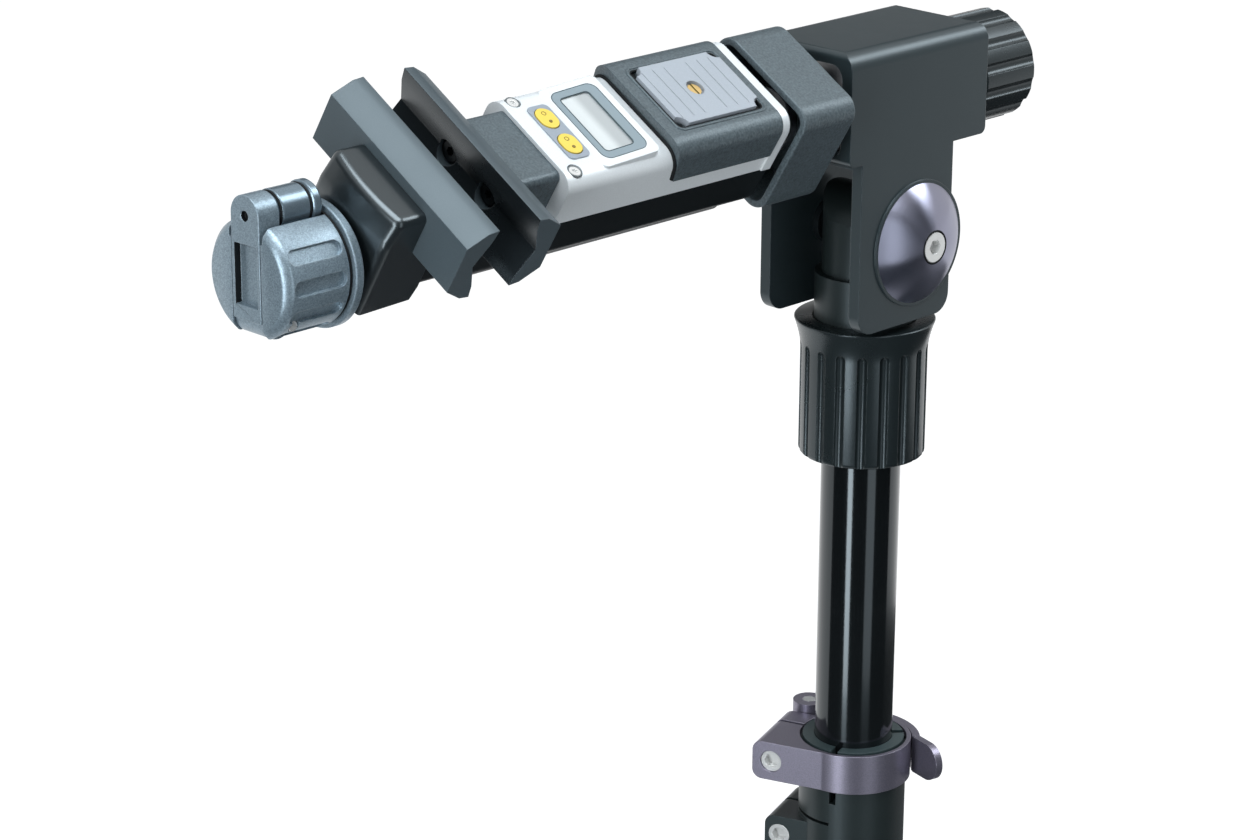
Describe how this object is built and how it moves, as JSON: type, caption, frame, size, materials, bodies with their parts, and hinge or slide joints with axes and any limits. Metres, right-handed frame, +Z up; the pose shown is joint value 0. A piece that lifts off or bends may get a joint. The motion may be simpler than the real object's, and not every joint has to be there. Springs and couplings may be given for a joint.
{
  "type": "bicycle repair stand",
  "caption": "Folding tripod repair stand: telescopic mast, folding head and a turning clamp arm with V jaws, a crank, and a built-in weighing scale.",
  "frame": {"origin": "on the floor, under the axis of the mast", "axes": "+Z up along the mast, the clamp arm points along -X"},
  "size_m": [0.8527, 0.8922, 1.1247],
  "materials": {
    "tube_black": "gloss black tube",
    "frame_black": "satin black coat",
    "anodised": "purple grey anodised",
    "bolt_steel": "zinc plated",
    "hidden_steel": "turned steel",
    "black_plastic": "black moulded",
    "grained_black": "dark grey grained",
    "gloss_black": "gloss black moulded",
    "rubber_black": "black rubber",
    "bush_grey": "dark grey moulded",
    "jaw_grey": "slate grey moulded",
    "silver": "silver paint",
    "bezel_grey": "blue grey print",
    "keypad_grey": "grey rubber pad",
    "button_yellow": "yellow key",
    "display_grey": "liquid crystal display",
    "door_grey": "blue grey moulded",
    "brass": "brass",
    "crank_grey": "blue grey metallic",
    "cell_aluminium": "machined aluminium"
  },
  "bodies": {
    "base": {"leg_hub": "frame_black", "lower_tube": "tube_black", "tube_plug": "black_plastic", "leg_bolts": "bolt_steel", "clamp_ring": "anodised", "clamp_bolts": "bolt_steel", "mast_bush": "bush_grey"},
    "lever": {"clamp_lever": "anodised", "lever_pin": "bolt_steel"},
    "spreader": {"spreader": "frame_black", "strut_pins": "bolt_steel"},
    "glide": {"mast_glide": "bush_grey"},
    "mast": {"upper_tube": "tube_black", "neck": "frame_black"},
    "lock_collar": {"lock_collar": "black_plastic"},
    "head": {"bracket": "frame_black", "pivot_bolt": "bolt_steel", "dome_caps": "anodised", "pivot_washers": "bolt_steel", "spindle_bearings": "bush_grey"},
    "rear_knob": {"rear_knob": "black_plastic"},
    "arm": {"spindle": "hidden_steel", "yoke": "grained_black", "tray": "black_plastic", "keel": "black_plastic", "housing": "silver", "display": "display_grey", "bezel": "bezel_grey", "keypad": "keypad_grey", "housing_screws": "bolt_steel", "saddle": "grained_black", "load_cell": "cell_aluminium", "jaw_block": "grained_black", "fixed_jaw": "jaw_grey", "fixed_jaw_screws": "hidden_steel"},
    "button_left": {"button_left": "button_yellow"},
    "button_right": {"button_right": "button_yellow"},
    "battery_door": {"battery_door": "door_grey"},
    "coin_screw": {"coin_screw": "brass"},
    "carriage": {"carriage": "gloss_black", "moving_jaw": "jaw_grey", "moving_jaw_screws": "hidden_steel", "guide_beam": "hidden_steel"},
    "crank": {"crank_knob": "crank_grey", "lead_screw": "hidden_steel", "crank_pin": "bolt_steel"},
    "crank_arm": {"crank_arm": "crank_grey"},
    "grip": {"grip": "crank_grey"},
    "leg_a": {"leg_tube_a": "tube_black", "knuckle_a": "frame_black", "foot_a": "rubber_black"},
    "strut_a": {"strut_a": "frame_black"},
    "leg_b": {"leg_tube_b": "tube_black", "knuckle_b": "frame_black", "foot_b": "rubber_black"},
    "strut_b": {"strut_b": "frame_black"},
    "leg_c": {"leg_tube_c": "tube_black", "knuckle_c": "frame_black", "foot_c": "rubber_black"},
    "strut_c": {"strut_c": "frame_black"}
  },
  "joints": [
    {"name": "lever_open", "type": "hinge", "parent": "base", "child": "lever", "pos_m": [0.00852, 0.03449, 0.77087], "axis": [0, 0, 1], "range_deg": [0, 100]},
    {"name": "spreader_slide", "type": "slide", "parent": "base", "child": "spreader", "axis": [0, 0, 1], "range_m": [-0.19481, 0]},
    {"name": "mast_height", "type": "slide", "parent": "base", "child": "glide", "axis": [0, 0, 1], "range_m": [-0.13, 0.3]},
    {"name": "mast_swivel", "type": "hinge", "parent": "glide", "child": "mast", "pos_m": [0, 0, 0.5], "axis": [0, 0, 1], "continuous": true},
    {"name": "head_fold", "type": "hinge", "parent": "mast", "child": "head", "pos_m": [0, 0, 1.0165], "axis": [0, -1, 0], "range_deg": [0, 75]},
    {"name": "lock_slide", "type": "slide", "parent": "mast", "child": "lock_collar", "axis": [0, 0, 1], "range_m": [-0.0264, 0]},
    {"name": "arm_roll", "type": "hinge", "parent": "head", "child": "arm", "pos_m": [0, 0, 1.077], "axis": [1, 0, 0], "continuous": true},
    {"name": "rear_knob_turn", "type": "hinge", "parent": "head", "child": "rear_knob", "pos_m": [0.06, 0, 1.077], "axis": [1, 0, 0], "continuous": true},
    {"name": "jaw_travel", "type": "slide", "parent": "arm", "child": "carriage", "axis": [1, 0, 0], "range_m": [-0.03, 0.0195]},
    {"name": "crank_turn", "type": "hinge", "parent": "carriage", "child": "crank", "pos_m": [-0.31, 0.00881, 1.06234], "axis": [1, 0, 0], "range_deg": [-1805, 1175]},
    {"name": "crank_fold", "type": "hinge", "parent": "crank", "child": "crank_arm", "pos_m": [-0.327, 0.00881, 1.04684], "axis": [0, -1, 0], "range_deg": [0, 180]},
    {"name": "grip_spin", "type": "hinge", "parent": "crank_arm", "child": "grip", "pos_m": [-0.315, 0.00881, 1.08674], "axis": [1, 0, 0], "continuous": true},
    {"name": "door_lift", "type": "slide", "parent": "arm", "child": "battery_door", "axis": [0, -0.515, 0.8572], "range_m": [0, 0.02]},
    {"name": "coin_turn", "type": "hinge", "parent": "battery_door", "child": "coin_screw", "pos_m": [-0.12425, -0.01442, 1.101], "axis": [0, -0.515, 0.8572], "continuous": true},
    {"name": "button_left_press", "type": "slide", "parent": "arm", "child": "button_left", "axis": [0, 0.515, -0.8572], "range_m": [0, 0.0006], "stiffness_N_per_m": 300},
    {"name": "button_right_press", "type": "slide", "parent": "arm", "child": "button_right", "axis": [0, 0.515, -0.8572], "range_m": [0, 0.0006], "stiffness_N_per_m": 300},
    {"name": "leg_a_fold", "type": "hinge", "parent": "base", "child": "leg_a", "pos_m": [-0.01163, 0.03195, 0.69], "axis": [-0.9397, -0.342, 0], "range_deg": [0, 30.05]},
    {"name": "strut_a_fold", "type": "hinge", "parent": "spreader", "child": "strut_a", "pos_m": [-0.01163, 0.03195, 0.27], "axis": [-0.9397, -0.342, 0], "range_deg": [-57.31, 0]},
    {"name": "leg_b_fold", "type": "hinge", "parent": "base", "child": "leg_b", "pos_m": [-0.02185, -0.02605, 0.69], "axis": [0.766, -0.6428, 0], "range_deg": [0, 30.05]},
    {"name": "strut_b_fold", "type": "hinge", "parent": "spreader", "child": "strut_b", "pos_m": [-0.02185, -0.02605, 0.27], "axis": [0.766, -0.6428, 0], "range_deg": [-57.31, 0]},
    {"name": "leg_c_fold", "type": "hinge", "parent": "base", "child": "leg_c", "pos_m": [0.03348, -0.0059, 0.69], "axis": [0.1736, 0.9848, 0], "range_deg": [0, 30.05]},
    {"name": "strut_c_fold", "type": "hinge", "parent": "spreader", "child": "strut_c", "pos_m": [0.03348, -0.0059, 0.27], "axis": [0.1736, 0.9848, 0], "range_deg": [-57.31, 0]}
  ],
  "couplings": [
    {"joint": "lock_slide", "follows": "head_fold", "m_per_rad": -0.020054},
    {"joint": "crank_turn", "follows": "jaw_travel", "rad_per_m": 1047.2},
    {"joint": "leg_a_fold", "follows": "spreader_slide", "rad_per_m": -2.6907},
    {"joint": "strut_a_fold", "follows": "spreader_slide", "rad_per_m": 5.1325},
    {"joint": "leg_b_fold", "follows": "spreader_slide", "rad_per_m": -2.6907},
    {"joint": "strut_b_fold", "follows": "spreader_slide", "rad_per_m": 5.1325},
    {"joint": "leg_c_fold", "follows": "spreader_slide", "rad_per_m": -2.6907},
    {"joint": "strut_c_fold", "follows": "spreader_slide", "rad_per_m": 5.1325}
  ]
}
